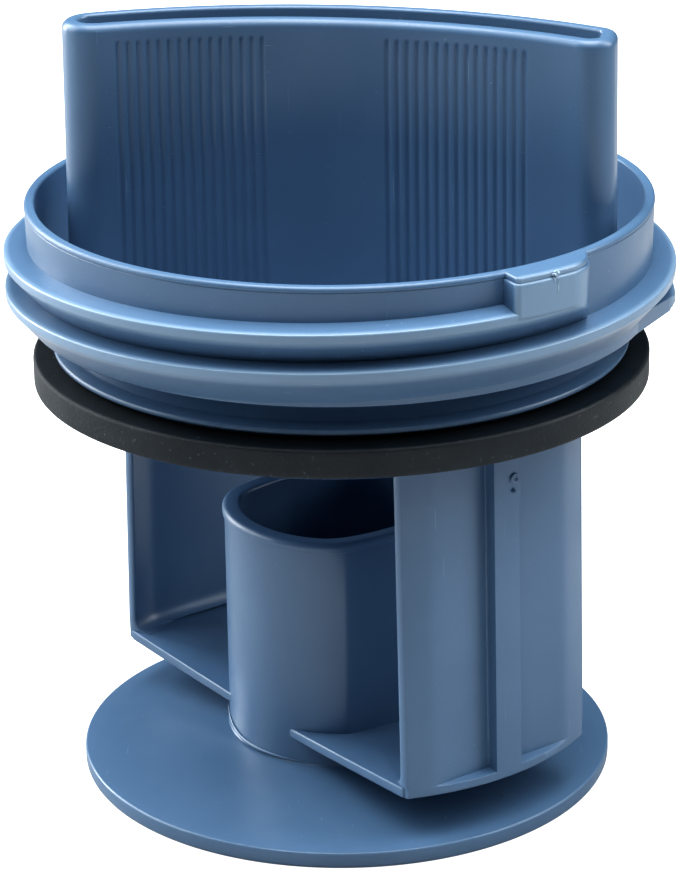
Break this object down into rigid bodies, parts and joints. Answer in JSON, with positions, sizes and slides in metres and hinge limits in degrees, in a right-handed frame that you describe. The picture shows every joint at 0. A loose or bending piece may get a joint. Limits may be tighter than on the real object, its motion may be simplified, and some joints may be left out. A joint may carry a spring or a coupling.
{
  "type": "washing machine lint filter",
  "caption": "Screw-in drain filter: base disc with water tube, open basket, threaded cap with seal ring, stop lug and curved hollow grip.",
  "frame": {"origin": "middle of the base disc's underside, on the thread's axis", "axes": "+Z along the thread's axis from the base disc to the grip; the stop lug lies ahead and to the right, near -Y; the basket's front opening faces between -X and -Y"},
  "size_m": [0.0746, 0.0746, 0.0871],
  "materials": {
    "blue_plastic": "satin moulded plastic with light wear",
    "black_rubber": "dull black rubber with dust in its surface"
  },
  "bodies": {
    "root": {"filter_body": "blue_plastic", "seal_ring": "black_rubber"}
  },
  "joints": []
}
